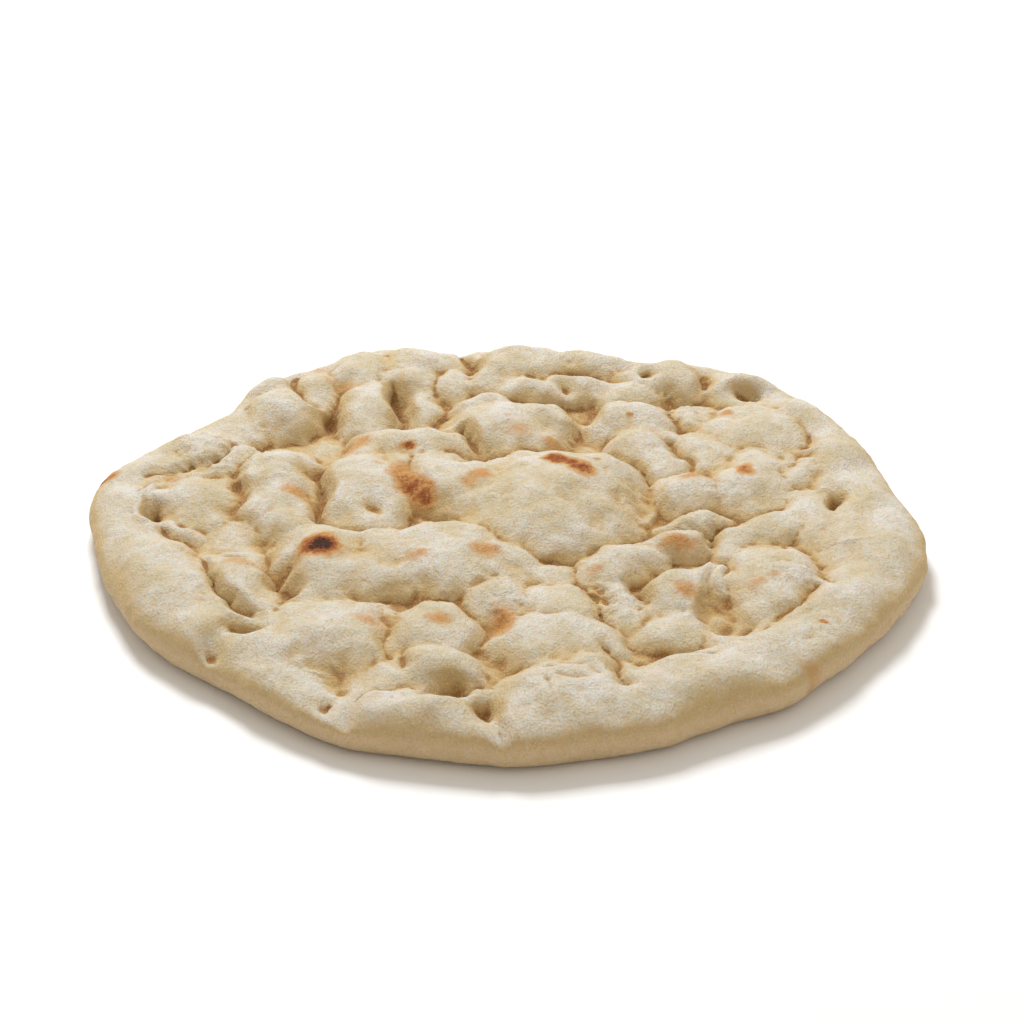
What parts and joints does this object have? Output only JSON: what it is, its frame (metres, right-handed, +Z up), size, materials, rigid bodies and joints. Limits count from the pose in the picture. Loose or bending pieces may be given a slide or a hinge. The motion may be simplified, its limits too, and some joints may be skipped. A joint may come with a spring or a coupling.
{
  "type": "pizza base",
  "caption": "Round pale baked pizza base with a thick uneven rim, a flat underside and a risen top of pillows, creases and dimples.",
  "frame": {"origin": "middle of the part's box in plan, at the underside", "axes": "+Z up through the thickness, +X to the right and +Y to the back as seen from the front"},
  "size_m": [0.3, 0.296, 0.0263],
  "materials": {
    "crust": "dry floury baked dough, cream with small brown toasted spots"
  },
  "bodies": {
    "root": {"pizza_base": "crust"}
  },
  "joints": []
}
